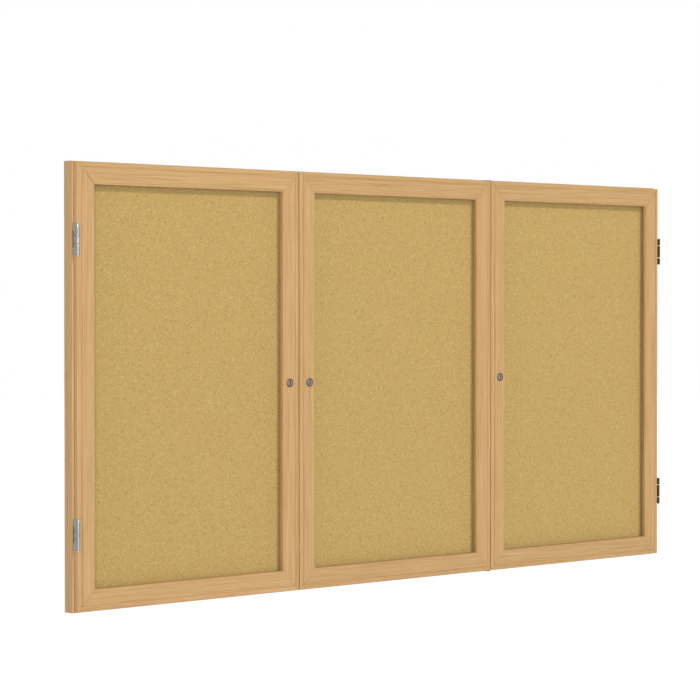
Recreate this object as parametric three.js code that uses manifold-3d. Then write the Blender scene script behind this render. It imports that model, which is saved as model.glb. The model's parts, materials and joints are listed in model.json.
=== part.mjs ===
// Lockable notice board: a shallow wall case in oak, with three glazed doors over cork panels.
// Millimetres. +Z is up, the doors face -Y, and the back of the case lies in the plane y = 0.

import * as THREE from 'three';
import * as BufferGeometryUtils from 'three/addons/utils/BufferGeometryUtils.js';
import Module from 'manifold-3d';

const wasm = await Module();
wasm.setup();

// Whole board
const boardWidth = 1828.8;
const boardHeight = 914.4;
const boardDepth = 41.275;

// Fits shared by every piece
const seatGap = 0.3;
const cutOverrun = 2;

// Case: a mitred frame, two mullions, a back panel, cork and battens
const caseWall = 19.05;
const caseArris = 3;
const caseRebateWidth = 9.5;
const backRecess = 6.35;
const backPanelThickness = 6.35;
const corkThickness = 6.35;
const corkEdgeGap = 0.5;
const mullionWidth = 19.05;
const battenHeight = 63.5;

// Doors
const doorThickness = 12.7;
const doorBackGap = 0.8;
const doorReveal = 2.5;
const doorGap = 3;
const memberWidth = 44.45;
const heelChamfer = 2;

// Moulding on the front of each door member, from its outer edge to the window
const rimWidth = 9;
const rimDrop = 0.8;
const rimRound = 1.6;
const mouldGrooveWidth = 2.4;
const mouldGrooveDepth = 1.7;
const beadWidth = 3.4;
const beadDrop = 1.1;
const beadRound = 1.2;

// Clear panes, held in a groove round the window
const paneThickness = 2.4;
const paneGrooveDepth = 8;
const paneGrooveSetback = 8.6;
const paneEdgeGap = 0.4;
const paneFaceGap = 0.2;

// Cam locks
const lockHeight = -3;
const plugRadius = 5.8;
const plugSetback = 0.3;
const lockBarrelWall = 1.9;
const lockBarrelOverhang = 0.5;
const lockFaceLip = 1.5;
const lockFaceThickness = 2.2;
const lockFaceChamfer = 0.7;
const lockNutRim = 3.2;
const lockNutThickness = 3.4;
const plugTailSide = 5;
const keywayWidth = 1.5;
const keywayHeight = 7.5;
const keywayDepth = 5;
const camThickness = 1.8;
const camHalfWidth = 4.5;
const camHubRim = 1;
const camTipGap = 0.6;
const camScrewHeadRadius = 3.4;
const camScrewHeadThickness = 1.1;
const camScrewRadius = 1.1;
const camScrewLength = 4.5;

// Strike angles on the mullions
const strikeThickness = 1.2;
const strikeHeight = 28;
const strikeLipGap = 0.4;
const strikeNutGap = 1.4;
const strikeRearMargin = 0.5;

// Butt hinges at the two outer doors
const hingeLength = 63.5;
const hingeEndDistance = 158.75;
const hingeKnuckleRadius = 2.4;
const hingePinRadius = 1.2;
const hingePinGap = 0.2;
const hingePinHeadThickness = 1.4;
const hingeBarrelStandoff = 0.4;
const hingeLeafThickness = 1.2;
const hingeMiddleShare = 0.46;
const hingeKnuckleGap = 1.2;
const hingeLeafSetback = 1.2;
const hingeFootWidth = 14;
const hingeScrewSpacing = 16;
const hingeScrewHoleRadius = 1.7;
const hingeScrewHeadRadius = 3;
const hingeCountersinkDepth = 0.75;

// Pivot brackets at the top and bottom of the middle door
const pivotInset = 4.5;
const pivotPinRadius = 2;
const pivotPinLength = 12;
const pivotPlateThickness = 1.6;
const pivotTopGap = 0.45;
const pivotArmWidth = 9;
const pivotNose = 3.2;
const pivotFootHeight = 15;

// Facets
const roundSides = 32;
const smallRoundSides = 16;
const arcSteps = 3;

// Sizes and places that follow from the ones above
const doorSpecs = [
  { name: 'left', hinged: 'left' },
  { name: 'middle', hinged: 'pivot' },
  { name: 'right', hinged: 'right' },
];
const doorPitch = (boardWidth - 2 * doorReveal + doorGap) / doorSpecs.length;
const doorWidth = doorPitch - doorGap;
const doorHeight = boardHeight - 2 * doorReveal;
const doorFront = -boardDepth;
const caseFront = -(boardDepth - doorThickness - doorBackGap);
const panelFront = -(backRecess + backPanelThickness);
const corkBack = panelFront - seatGap;
const corkFront = corkBack - corkThickness;
const innerHalfWidth = boardWidth / 2 - caseWall;
const innerHalfHeight = boardHeight / 2 - caseWall;
const recessHalfWidth = innerHalfWidth + caseRebateWidth;
const recessHalfHeight = innerHalfHeight + caseRebateWidth;

const doorCentreX = (index) => (index - (doorSpecs.length - 1) / 2) * doorPitch;
const mullionX = (index) => doorCentreX(index) + doorPitch / 2;

// Lock radii, places counted from the front of the door, and how far the cam and the strike's lip reach
const lockBarrelRadius = plugRadius + seatGap + lockBarrelWall;
const lockFaceRadius = lockBarrelRadius + lockFaceLip;
const lockNutRadius = lockBarrelRadius + seatGap + lockNutRim;
const mainFaceStart = rimWidth + mouldGrooveWidth;
const lockInset = (mainFaceStart + memberWidth) / 2;
const lockFaceFront = -(seatGap + lockFaceThickness);
const lockNutFront = doorThickness + seatGap;
const lockBodyRear = lockNutFront + lockNutThickness + lockBarrelOverhang;
const camFront = lockBodyRear + seatGap;
const camRear = camFront + camThickness;
const lockToMullion = lockInset + doorGap / 2 - mullionWidth / 2;
const camReach = lockToMullion - seatGap - strikeThickness - camTipGap;
const strikeLipReach = lockToMullion - seatGap - lockNutRadius - strikeNutGap;

// Hinge places, counted from the axis of the barrel
const hingeAxisOut = seatGap + hingeLeafThickness / 2;
const hingeAxisForward = hingeKnuckleRadius + hingeBarrelStandoff;
const hingeDoorLeafDepth = hingeAxisForward + doorThickness - hingeLeafSetback;
const hingeFootBack = hingeAxisForward + doorThickness + doorBackGap + hingeLeafThickness;
const hingeMiddleHalf = (hingeLength * hingeMiddleShare) / 2;
const hingeEndHalf = hingeLength / 2;
const hingeZ = boardHeight / 2 - hingeEndDistance;

// Finishes
const oak = () => new THREE.MeshStandardMaterial({ color: 0xd1a976, roughness: 0.55, metalness: 0 });
const innerOak = () => new THREE.MeshStandardMaterial({ color: 0xb08a58, roughness: 0.6, metalness: 0 });
const cork = () => new THREE.MeshStandardMaterial({ color: 0xc4a469, roughness: 0.95, metalness: 0 });
const hardboard = () => new THREE.MeshStandardMaterial({ color: 0x8a6a48, roughness: 0.8, metalness: 0 });
const clear = () => new THREE.MeshStandardMaterial({
  color: 0xf4f8f8,
  roughness: 0.08,
  metalness: 0,
  transparent: true,
  opacity: 0.2,
});
const steel = () => new THREE.MeshStandardMaterial({ color: 0x9a9a98, roughness: 0.4, metalness: 0.9 });
const nickel = () => new THREE.MeshStandardMaterial({ color: 0xb4aea8, roughness: 0.25, metalness: 1 });

// Solids

function bareGeometry(geometry) {
  const bare = geometry.index ? geometry.toNonIndexed() : geometry.clone();
  bare.deleteAttribute('normal');
  bare.deleteAttribute('uv');
  const merged = BufferGeometryUtils.mergeVertices(bare);
  const kept = [];
  const corners = merged.index.array;
  for (let i = 0; i < corners.length; i += 3) {
    const [a, b, c] = corners.slice(i, i + 3);
    if (a !== b && b !== c && c !== a) {
      kept.push(a, b, c);
    }
  }
  merged.setIndex(kept);
  return merged;
}

function toManifold(geometry) {
  const bare = bareGeometry(geometry);
  return new wasm.Manifold(new wasm.Mesh({
    numProp: 3,
    vertProperties: new Float32Array(bare.attributes.position.array),
    triVerts: new Uint32Array(bare.index.array),
  }));
}

function fromManifold(manifold) {
  const mesh = manifold.getMesh();
  const geometry = new THREE.BufferGeometry();
  geometry.setAttribute('position', new THREE.BufferAttribute(new Float32Array(mesh.vertProperties), 3));
  geometry.setIndex(new THREE.BufferAttribute(new Uint32Array(mesh.triVerts), 1));
  geometry.computeVertexNormals();
  return geometry;
}

function cut(geometry, cutters) {
  let body = toManifold(geometry);
  for (const cutter of cutters) {
    body = body.subtract(toManifold(cutter));
  }
  return fromManifold(body);
}

function join(geometries) {
  let body = toManifold(geometries[0]);
  for (const geometry of geometries.slice(1)) {
    body = body.add(toManifold(geometry));
  }
  return fromManifold(body);
}

// A block between two x, two y and two z limits.
function block(x0, x1, y0, y1, z0, z1) {
  const geometry = new THREE.BoxGeometry(x1 - x0, y1 - y0, z1 - z0);
  geometry.translate((x0 + x1) / 2, (y0 + y1) / 2, (z0 + z1) / 2);
  return geometry;
}

// A cylinder along Y, between two depths.
function rodY(radius, y0, y1, x, z, sides) {
  const geometry = new THREE.CylinderGeometry(radius, radius, y1 - y0, sides);
  geometry.translate(x, (y0 + y1) / 2, z);
  return geometry;
}

// A cylinder along Z, between two heights.
function rodZ(radius, z0, z1, x, y, sides) {
  const geometry = new THREE.CylinderGeometry(radius, radius, z1 - z0, sides);
  geometry.rotateX(Math.PI / 2);
  geometry.translate(x, y, (z0 + z1) / 2);
  return geometry;
}

// A cylinder along X, between two places.
function rodX(radius, x0, x1, y, z, sides) {
  const geometry = new THREE.CylinderGeometry(radius, radius, x1 - x0, sides);
  geometry.rotateZ(Math.PI / 2);
  geometry.translate((x0 + x1) / 2, y, z);
  return geometry;
}

function mesh(name, geometry, material) {
  const piece = new THREE.Mesh(geometry, material);
  piece.name = name;
  return piece;
}

// A section drawn through a list of points.
function sectionThrough(points) {
  return new THREE.Shape(points.map(([x, y]) => new THREE.Vector2(x, y)));
}

// The points of an arc in a section.
function arcPoints(x, y, radius, from, to) {
  const points = [];
  for (let i = 0; i <= arcSteps; i += 1) {
    const angle = from + ((to - from) * i) / arcSteps;
    points.push([x + radius * Math.cos(angle), y + radius * Math.sin(angle)]);
  }
  return points;
}

// One member of a mitred frame: the section lies in (inward, depth), and both ends are cut at 45 degrees.
function mitredMember(section, length, corner, inward, along) {
  const geometry = new THREE.ExtrudeGeometry(section, { depth: length, bevelEnabled: false, steps: 1 });
  const place = geometry.attributes.position;
  const mitreGap = seatGap * Math.SQRT1_2;
  for (let i = 0; i < place.count; i += 1) {
    const atStart = place.getZ(i) < length / 2;
    const fromEnd = place.getX(i) + mitreGap;
    place.setZ(i, atStart ? fromEnd : length - fromEnd);
  }
  const turn = new THREE.Matrix4().makeBasis(inward, new THREE.Vector3(0, 1, 0), along);
  turn.setPosition(corner);
  geometry.applyMatrix4(turn);
  return geometry;
}

// The four members of a mitred frame, centred on the origin in X and Z.
function mitredFrame(section, width, height) {
  const right = new THREE.Vector3(1, 0, 0);
  const up = new THREE.Vector3(0, 0, 1);
  const left = right.clone().negate();
  const down = up.clone().negate();
  const corner = (x, z) => new THREE.Vector3((x * width) / 2, 0, (z * height) / 2);
  return {
    top: mitredMember(section, width, corner(-1, 1), down, right),
    bottom: mitredMember(section, width, corner(1, -1), up, left),
    left: mitredMember(section, height, corner(-1, -1), right, up),
    right: mitredMember(section, height, corner(1, 1), left, down),
  };
}

// Case

// Section of a case member: x runs from the outside in, y from front to back.
function caseSection() {
  const shoulder = panelFront - seatGap;
  return sectionThrough([
    ...arcPoints(caseArris, caseFront + caseArris, caseArris, Math.PI, Math.PI * 1.5),
    [caseWall, caseFront],
    [caseWall, shoulder],
    [caseWall - caseRebateWidth, shoulder],
    [caseWall - caseRebateWidth, 0],
    [0, 0],
  ]);
}

// Mortise for one hinge foot, in the front edge of a side and open outwards; sideSign is -1 on the left.
function hingeMortise(sideSign, z) {
  const doorEdge = boardWidth / 2 - doorReveal;
  const outer = sideSign * (boardWidth / 2 + cutOverrun);
  const inner = sideSign * (doorEdge + hingeAxisOut - hingeLeafThickness / 2 - hingeFootWidth - seatGap);
  const x0 = Math.min(outer, inner);
  const x1 = Math.max(outer, inner);
  const back = caseFront + hingeLeafThickness + seatGap;
  const half = hingeEndHalf + seatGap;
  return block(x0, x1, caseFront - cutOverrun, back, z - half, z + half);
}

const middleIndex = doorSpecs.findIndex((spec) => spec.hinged === 'pivot');
const pivotX = doorCentreX(middleIndex) + doorWidth / 2 - pivotInset;
const pivotY = doorFront + pivotInset;

// Mortise for one pivot bracket, in the front edge of the top or bottom rail.
function pivotMortise(upSign) {
  const half = pivotArmWidth / 2 + seatGap;
  const back = caseFront + pivotPlateThickness + seatGap;
  const near = upSign * (boardHeight / 2 + cutOverrun);
  const far = upSign * (doorHeight / 2 + pivotTopGap + pivotPlateThickness - pivotFootHeight - seatGap);
  const z0 = Math.min(near, far);
  const z1 = Math.max(near, far);
  return block(pivotX - half, pivotX + half, caseFront - cutOverrun, back, z0, z1);
}

// Angle on the side of a mullion. Its lip stands in front of the cam, which turns in behind it.
function strikeAngle(mullionCentre, sideSign) {
  const face = mullionCentre + sideSign * (mullionWidth / 2 + seatGap);
  const legFace = face + sideSign * strikeThickness;
  const lipEnd = face + sideSign * strikeLipReach;
  const lipBack = doorFront + camFront - strikeLipGap;
  const lipFront = lipBack - strikeThickness;
  const legBack = corkFront - strikeRearMargin;
  const z0 = lockHeight - strikeHeight / 2;
  const z1 = lockHeight + strikeHeight / 2;
  const leg = block(Math.min(face, legFace), Math.max(face, legFace), lipFront, legBack, z0, z1);
  const lip = block(Math.min(face, lipEnd), Math.max(face, lipEnd), lipFront, lipBack, z0, z1);
  return join([leg, lip]);
}

// Which mullion a door locks to, and on which side of it the lock lies.
function lockSite(index) {
  const lockSign = doorSpecs[index].hinged === 'left' ? 1 : -1;
  const mullion = lockSign > 0 ? mullionX(index) : mullionX(index - 1);
  return { lockSign, mullion, sideSign: -lockSign };
}

function buildCase() {
  const group = new THREE.Group();
  const frame = mitredFrame(caseSection(), boardWidth, boardHeight);
  group.add(mesh('case_top_rail', cut(frame.top, [pivotMortise(1)]), oak()));
  group.add(mesh('case_bottom_rail', cut(frame.bottom, [pivotMortise(-1)]), oak()));
  const leftSide = cut(frame.left, [hingeMortise(-1, hingeZ), hingeMortise(-1, -hingeZ)]);
  const rightSide = cut(frame.right, [hingeMortise(1, hingeZ), hingeMortise(1, -hingeZ)]);
  group.add(mesh('case_left_side', leftSide, oak()));
  group.add(mesh('case_right_side', rightSide, oak()));

  const mullionNames = ['mullion_left', 'mullion_right'];
  mullionNames.forEach((name, index) => {
    const x = mullionX(index);
    const half = mullionWidth / 2;
    const height = innerHalfHeight - seatGap;
    const bar = block(x - half, x + half, caseFront, corkBack, -height, height);
    group.add(mesh(name, bar, innerOak()));
  });
  doorSpecs.forEach((spec, index) => {
    const site = lockSite(index);
    group.add(mesh(`strike_${spec.name}`, strikeAngle(site.mullion, site.sideSign), steel()));
  });

  const panelX = recessHalfWidth - seatGap;
  const panelZ = recessHalfHeight - seatGap;
  const panel = block(-panelX, panelX, panelFront, -backRecess, -panelZ, panelZ);
  group.add(mesh('back_panel', panel, hardboard()));

  doorSpecs.forEach((spec, index) => {
    const first = index === 0;
    const last = index === doorSpecs.length - 1;
    const x0 = (first ? -innerHalfWidth : mullionX(index - 1) + mullionWidth / 2) + corkEdgeGap;
    const x1 = (last ? innerHalfWidth : mullionX(index) - mullionWidth / 2) - corkEdgeGap;
    const half = innerHalfHeight - corkEdgeGap;
    group.add(mesh(`cork_${spec.name}`, block(x0, x1, corkFront, corkBack, -half, half), cork()));
  });

  const battenHalf = recessHalfWidth - corkEdgeGap;
  const battenZ = recessHalfHeight - corkEdgeGap - battenHeight / 2;
  const battenPlaces = { batten_top: battenZ, batten_middle: 0, batten_bottom: -battenZ };
  for (const [name, z] of Object.entries(battenPlaces)) {
    const z0 = z - battenHeight / 2;
    const z1 = z + battenHeight / 2;
    const batten = block(-battenHalf, battenHalf, seatGap - backRecess, 0, z0, z1);
    group.add(mesh(name, batten, innerOak()));
  }
  return group;
}

// Doors

// Section of a door member: x runs from the outer edge to the window, y from the front face back.
function doorSection() {
  const windowEdge = memberWidth;
  const mainEnd = memberWidth - beadWidth;
  const paneBack = paneGrooveSetback + paneThickness + 2 * paneFaceGap;
  return sectionThrough([
    ...arcPoints(rimRound, rimDrop + rimRound, rimRound, Math.PI, Math.PI * 1.5),
    [rimWidth, rimDrop],
    [rimWidth, mouldGrooveDepth],
    [mainFaceStart, mouldGrooveDepth],
    [mainFaceStart, 0],
    [mainEnd, 0],
    [mainEnd, beadDrop],
    ...arcPoints(windowEdge - beadRound, beadDrop + beadRound, beadRound, Math.PI * 1.5, Math.PI * 2),
    [windowEdge, paneGrooveSetback],
    [windowEdge - paneGrooveDepth, paneGrooveSetback],
    [windowEdge - paneGrooveDepth, paneBack],
    [windowEdge, paneBack],
    [windowEdge, doorThickness],
    [heelChamfer, doorThickness],
    [0, doorThickness - heelChamfer],
  ]);
}

function pivotHole(upSign) {
  const x = doorWidth / 2 - pivotInset;
  const near = upSign * (doorHeight / 2 + cutOverrun);
  const far = upSign * (doorHeight / 2 - pivotPinLength - seatGap);
  const z0 = Math.min(near, far);
  const z1 = Math.max(near, far);
  return rodZ(pivotPinRadius + seatGap, z0, z1, x, pivotInset, smallRoundSides);
}

function buildDoor(index) {
  const spec = doorSpecs[index];
  const group = new THREE.Group();
  group.position.set(doorCentreX(index), doorFront, 0);

  const frame = mitredFrame(doorSection(), doorWidth, doorHeight);
  const { lockSign } = lockSite(index);
  const lockX = lockSign * (doorWidth / 2 - lockInset);
  const boreFront = -cutOverrun;
  const boreBack = doorThickness + cutOverrun;
  const lockBore = rodY(lockBarrelRadius + seatGap, boreFront, boreBack, lockX, lockHeight, roundSides);
  const holes = { top: [], bottom: [], left: [], right: [] };
  holes[lockSign > 0 ? 'right' : 'left'].push(lockBore);
  if (spec.hinged === 'pivot') {
    holes.top.push(pivotHole(1));
    holes.bottom.push(pivotHole(-1));
    holes.right.push(pivotHole(1), pivotHole(-1));
  }
  const memberNames = { top: 'top_rail', bottom: 'bottom_rail', left: 'left_stile', right: 'right_stile' };
  for (const [side, label] of Object.entries(memberNames)) {
    const geometry = holes[side].length ? cut(frame[side], holes[side]) : bareGeometry(frame[side]);
    group.add(mesh(`door_${spec.name}_${label}`, geometry, oak()));
  }

  const paneHalfWidth = doorWidth / 2 - memberWidth + paneGrooveDepth - paneEdgeGap;
  const paneHalfHeight = doorHeight / 2 - memberWidth + paneGrooveDepth - paneEdgeGap;
  const paneFront = paneGrooveSetback + paneFaceGap;
  const paneRear = paneFront + paneThickness;
  const pane = block(-paneHalfWidth, paneHalfWidth, paneFront, paneRear, -paneHalfHeight, paneHalfHeight);
  group.add(mesh(`door_${spec.name}_pane`, pane, clear()));

  const lock = buildLock(spec.name);
  lock.position.set(lockX, 0, lockHeight);
  group.add(lock);
  return group;
}

// Cam lock, with its axis along Y and y = 0 on the front face of the door

function ring(innerRadius, outline, sides) {
  const points = outline.map(([radius, y]) => new THREE.Vector2(radius, y));
  const inner = [
    new THREE.Vector2(innerRadius, outline.at(-1)[1]),
    new THREE.Vector2(innerRadius, outline[0][1]),
  ];
  return new THREE.LatheGeometry([...points, ...inner, points[0]], sides);
}

function lockBody() {
  const outline = [
    [lockFaceRadius - lockFaceChamfer, lockFaceFront],
    [lockFaceRadius, lockFaceFront + lockFaceChamfer],
    [lockFaceRadius, -seatGap],
    [lockBarrelRadius, -seatGap],
    [lockBarrelRadius, lockBodyRear],
  ];
  return ring(plugRadius + seatGap, outline, roundSides);
}

function lockPlug() {
  const front = lockFaceFront + plugSetback;
  const tail = plugTailSide / 2;
  const core = rodY(plugRadius, front, lockBodyRear, 0, 0, roundSides);
  const post = block(-tail, tail, lockBodyRear - keywayDepth, camRear, -tail, tail);
  const keywayHalf = keywayWidth / 2;
  const keywayTop = keywayHeight / 2;
  const keywayBack = front + keywayDepth;
  const keyway = block(-keywayHalf, keywayHalf, front - cutOverrun, keywayBack, -keywayTop, keywayTop);
  const screwBottom = camRear - camScrewLength - seatGap;
  const screwHole = rodY(camScrewRadius + seatGap, screwBottom, camRear + cutOverrun, 0, 0, smallRoundSides);
  return cut(join([core, post]), [keyway, screwHole]);
}

// The cam hangs straight down when the lock is open.
function lockCam() {
  const tipCentre = camReach - camHalfWidth;
  const hub = rodY(camHalfWidth + camHubRim, camFront, camRear, 0, 0, roundSides);
  const arm = block(-camHalfWidth, camHalfWidth, camFront, camRear, -tipCentre, 0);
  const tip = rodY(camHalfWidth, camFront, camRear, 0, -tipCentre, roundSides);
  const hole = plugTailSide / 2 + seatGap;
  const square = block(-hole, hole, camFront - cutOverrun, camRear + cutOverrun, -hole, hole);
  return cut(join([hub, arm, tip]), [square]);
}

function lockNut() {
  const hexagon = rodY(lockNutRadius, lockNutFront, lockNutFront + lockNutThickness, 0, 0, 6);
  const boreBack = lockNutFront + lockNutThickness + cutOverrun;
  const bore = rodY(lockBarrelRadius + seatGap, lockNutFront - cutOverrun, boreBack, 0, 0, roundSides);
  return cut(hexagon, [bore]);
}

function camScrew() {
  const headFront = camRear + seatGap;
  const head = rodY(camScrewHeadRadius, headFront, headFront + camScrewHeadThickness, 0, 0, smallRoundSides);
  const shankFront = camRear - camScrewLength;
  const shankBack = headFront + camScrewHeadThickness / 2;
  const shank = rodY(camScrewRadius, shankFront, shankBack, 0, 0, smallRoundSides);
  return join([head, shank]);
}

function buildLock(name) {
  const group = new THREE.Group();
  group.add(mesh(`lock_${name}_body`, lockBody(), nickel()));
  group.add(mesh(`lock_${name}_plug`, lockPlug(), nickel()));
  group.add(mesh(`lock_${name}_cam`, lockCam(), steel()));
  group.add(mesh(`lock_${name}_nut`, lockNut(), steel()));
  group.add(mesh(`lock_${name}_cam_screw`, camScrew(), steel()));
  return group;
}

// Butt hinge about a barrel on the origin: +X points along the front of the door, +Y towards the wall

function knuckle(z0, z1) {
  return rodZ(hingeKnuckleRadius, z0, z1, 0, 0, smallRoundSides);
}

function pinBore() {
  const half = hingeEndHalf + cutOverrun;
  return rodZ(hingePinRadius + hingePinGap, -half, half, 0, 0, smallRoundSides);
}

function hingeCaseLeaf() {
  const half = hingeLeafThickness / 2;
  const inner = hingeMiddleHalf + hingeKnuckleGap;
  const parts = [];
  for (const [z0, z1] of [[inner, hingeEndHalf], [-hingeEndHalf, -inner]]) {
    parts.push(knuckle(z0, z1));
    parts.push(block(-half, half, 0, hingeFootBack, z0, z1));
  }
  const footFront = hingeFootBack - hingeLeafThickness;
  parts.push(block(-half, half + hingeFootWidth, footFront, hingeFootBack, -hingeEndHalf, hingeEndHalf));
  return cut(join(parts), [pinBore()]);
}

function hingeDoorLeaf() {
  const half = hingeLeafThickness / 2;
  const holes = [pinBore()];
  const screwDepth = hingeAxisForward + (hingeDoorLeafDepth - hingeAxisForward) / 2;
  for (const sign of [-1, 1]) {
    const z = (sign * hingeScrewSpacing) / 2;
    const through = half + cutOverrun;
    const countersink = hingeCountersinkDepth - half;
    holes.push(rodX(hingeScrewHoleRadius, -through, through, screwDepth, z, smallRoundSides));
    holes.push(rodX(hingeScrewHeadRadius, -through, countersink, screwDepth, z, smallRoundSides));
  }
  const plate = block(-half, half, 0, hingeDoorLeafDepth, -hingeMiddleHalf, hingeMiddleHalf);
  return cut(join([knuckle(-hingeMiddleHalf, hingeMiddleHalf), plate]), holes);
}

function hingePin() {
  const headStart = hingeEndHalf + seatGap;
  const headEnd = headStart + hingePinHeadThickness;
  const shaft = rodZ(hingePinRadius, -headStart, headStart, 0, 0, smallRoundSides);
  const topHead = rodZ(hingeKnuckleRadius, headStart, headEnd, 0, 0, smallRoundSides);
  const bottomHead = rodZ(hingeKnuckleRadius, -headEnd, -headStart, 0, 0, smallRoundSides);
  return join([shaft, topHead, bottomHead]);
}

function buildHinge(name, sideSign, z) {
  const group = new THREE.Group();
  const doorEdge = boardWidth / 2 - doorReveal;
  group.position.set(sideSign * (doorEdge + hingeAxisOut), doorFront - hingeAxisForward, z);
  group.rotation.y = sideSign > 0 ? Math.PI : 0;
  group.add(mesh(`hinge_${name}_case_leaf`, hingeCaseLeaf(), steel()));
  group.add(mesh(`hinge_${name}_door_leaf`, hingeDoorLeaf(), steel()));
  group.add(mesh(`hinge_${name}_pin`, hingePin(), steel()));
  return group;
}

// Pivot bracket of the middle door: a foot let into the case, an arm over the door and a pin down into it.
// The origin is on the pivot axis, level with the end of the door.
function pivotBracket() {
  const half = pivotArmWidth / 2;
  const armTop = pivotTopGap + pivotPlateThickness;
  const footBack = caseFront - pivotY + pivotPlateThickness;
  const arm = block(-half, half, -pivotNose, footBack, pivotTopGap, armTop);
  const footFront = footBack - pivotPlateThickness;
  const foot = block(-half, half, footFront, footBack, armTop - pivotFootHeight, armTop);
  const pinTop = pivotTopGap + pivotPlateThickness / 2;
  const pin = rodZ(pivotPinRadius, -pivotPinLength, pinTop, 0, 0, smallRoundSides);
  return join([arm, foot, pin]);
}

function buildPivot(name, upSign) {
  const piece = mesh(`pivot_${name}_bracket`, pivotBracket(), steel());
  piece.position.set(pivotX, pivotY, (upSign * doorHeight) / 2);
  piece.rotation.y = upSign > 0 ? 0 : Math.PI;
  return piece;
}

const board = new THREE.Group();
board.add(buildCase());
doorSpecs.forEach((spec, index) => board.add(buildDoor(index)));
board.add(buildHinge('left_upper', -1, hingeZ));
board.add(buildHinge('left_lower', -1, -hingeZ));
board.add(buildHinge('right_upper', 1, hingeZ));
board.add(buildHinge('right_lower', 1, -hingeZ));
board.add(buildPivot('top', 1));
board.add(buildPivot('bottom', -1));

export default board;
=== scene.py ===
"""Lockable notice board: the finish of its oak case, three glazed doors, cork, locks and hinges.

Metres. +Z is up, the doors face -Y and the back of the case lies in the plane y = 0.
"""

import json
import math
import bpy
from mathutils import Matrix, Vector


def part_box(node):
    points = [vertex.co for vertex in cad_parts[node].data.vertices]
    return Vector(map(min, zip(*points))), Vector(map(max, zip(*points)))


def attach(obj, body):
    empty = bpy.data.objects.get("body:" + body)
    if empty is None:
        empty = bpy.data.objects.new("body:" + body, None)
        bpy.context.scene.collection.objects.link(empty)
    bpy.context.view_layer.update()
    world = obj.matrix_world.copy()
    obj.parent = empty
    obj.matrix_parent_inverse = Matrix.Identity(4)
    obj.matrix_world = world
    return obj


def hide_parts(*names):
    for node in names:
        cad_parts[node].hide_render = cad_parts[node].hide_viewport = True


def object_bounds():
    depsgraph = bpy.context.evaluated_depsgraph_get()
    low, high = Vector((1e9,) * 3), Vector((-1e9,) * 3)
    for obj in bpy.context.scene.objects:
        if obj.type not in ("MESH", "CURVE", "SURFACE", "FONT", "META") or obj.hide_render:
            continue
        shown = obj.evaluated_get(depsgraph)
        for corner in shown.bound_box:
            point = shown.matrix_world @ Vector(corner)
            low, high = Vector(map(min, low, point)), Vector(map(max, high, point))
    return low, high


bl_info = {
    "name": "Lockable Notice Board",
    "version": (1, 0, 0),
    "blender": (4, 5, 0),
    "location": "View3D > Sidebar > Notice Board",
    "description": "Dresses a three-door notice board with oak, cork, clear panes, cam locks and hinges",
    "category": "Add Mesh",
}

import bmesh
import bpy
from bpy.props import FloatProperty, FloatVectorProperty, PointerProperty
from bpy.types import Operator, Panel, PropertyGroup
from mathutils import Matrix, Vector

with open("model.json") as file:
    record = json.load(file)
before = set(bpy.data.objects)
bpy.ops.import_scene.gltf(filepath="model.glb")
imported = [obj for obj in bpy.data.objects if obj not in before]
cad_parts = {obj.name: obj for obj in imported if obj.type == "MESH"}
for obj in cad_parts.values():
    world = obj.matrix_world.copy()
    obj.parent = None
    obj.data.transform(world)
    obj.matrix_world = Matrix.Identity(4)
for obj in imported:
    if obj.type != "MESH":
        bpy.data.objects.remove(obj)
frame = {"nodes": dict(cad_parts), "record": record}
cad_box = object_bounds()

RECORD = frame["record"]
BODY_OF = {node: body for body, nodes in RECORD["behaviour"]["bodies"].items() for node in nodes}

DOORS = ("left", "middle", "right")
HINGES = ("left_upper", "left_lower", "right_upper", "right_lower")

MM = 0.001
PART_GAP = 0.3 * MM  # between joined or turning pieces of the CAD
OVERLAP = 1 * MM  # how far a tool reaches past a face, or a joined piece into the other
MERGE_DISTANCE = 0.001 * MM
UPRIGHT = Matrix.Rotation(math.pi / 2, 4, "X")

# Edges sharper than these are rounded, or stay crisp beside smooth faces
EDGE_ANGLE = math.radians(35)
FINE_EDGE_ANGLE = math.radians(20)
CRISP_ANGLE = math.radians(30)

# Sides of the turned pieces
LOCK_SIDES = 96
HINGE_SIDES = 48
SMALL_SIDES = 32

# Sizes of the locks
RIM_THICKNESS = 2.2 * MM
RIM_OVERHANG = 1.5 * MM
BARREL_CHAMFER = 0.2 * MM
PLUG_ROUND = 0.35 * MM
TAIL_HALF = 2.5 * MM
PLAIN_BARREL_SHARE = 0.45
PAN_HEAD_RISE = 1.1 * MM
PAN_SCREW_LENGTH = 4 * MM

# Degrees by which the first screw's recess is turned, and by which each next one is turned more
FIRST_TWIST, NEXT_TWIST = 23, 57

# Sizes of the hinges, strikes and brackets
KNUCKLE_ROUND = 0.45 * MM
BARREL_CLEARANCE = 0.4 * MM
CASE_SCREW_HEIGHTS = (-0.68, 0.0, 0.68)  # in shares of half the leaf
FLUSH_HEAD_RISE = 0.15 * MM
STRIKE_SHEET = 1.2 * MM
STRIKE_HEAD_RISE = 0.7 * MM
STRIKE_SCREW_LENGTH = 8 * MM
STRIKE_EDGE = 1.5 * MM
BRACKET_FACE_LIFT = 0.05 * MM
BRACKET_SCREW_INSET = 9 * MM
BRACKET_SCREW_LENGTH = 10 * MM

# Roughness of the metals
SATIN = 0.30
POLISHED = 0.26
# Roughness of the right hinges' steel, whose darker colour is painted shade
RIGHT_HINGE_ROUGHNESS = 0.45

# Grain of the case members: where it starts in the noise, and how light it is
CASE_RAIL_START = (0.37, 0.0, 0.11)
CASE_SIDE_START = (0.05, 0.0, 0.83)
CASE_SHADE = 0.98

# Grain of the doors: its shift from one door to the next, and how much darker each door is
RAIL_SHIFT = (1.3, 0.0, 0.41)
STILE_SHIFT = (0.29, 0.0, 1.7)
SHADE_STEP = 0.015
LATER_RAILS_SHADE = 0.035

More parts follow.
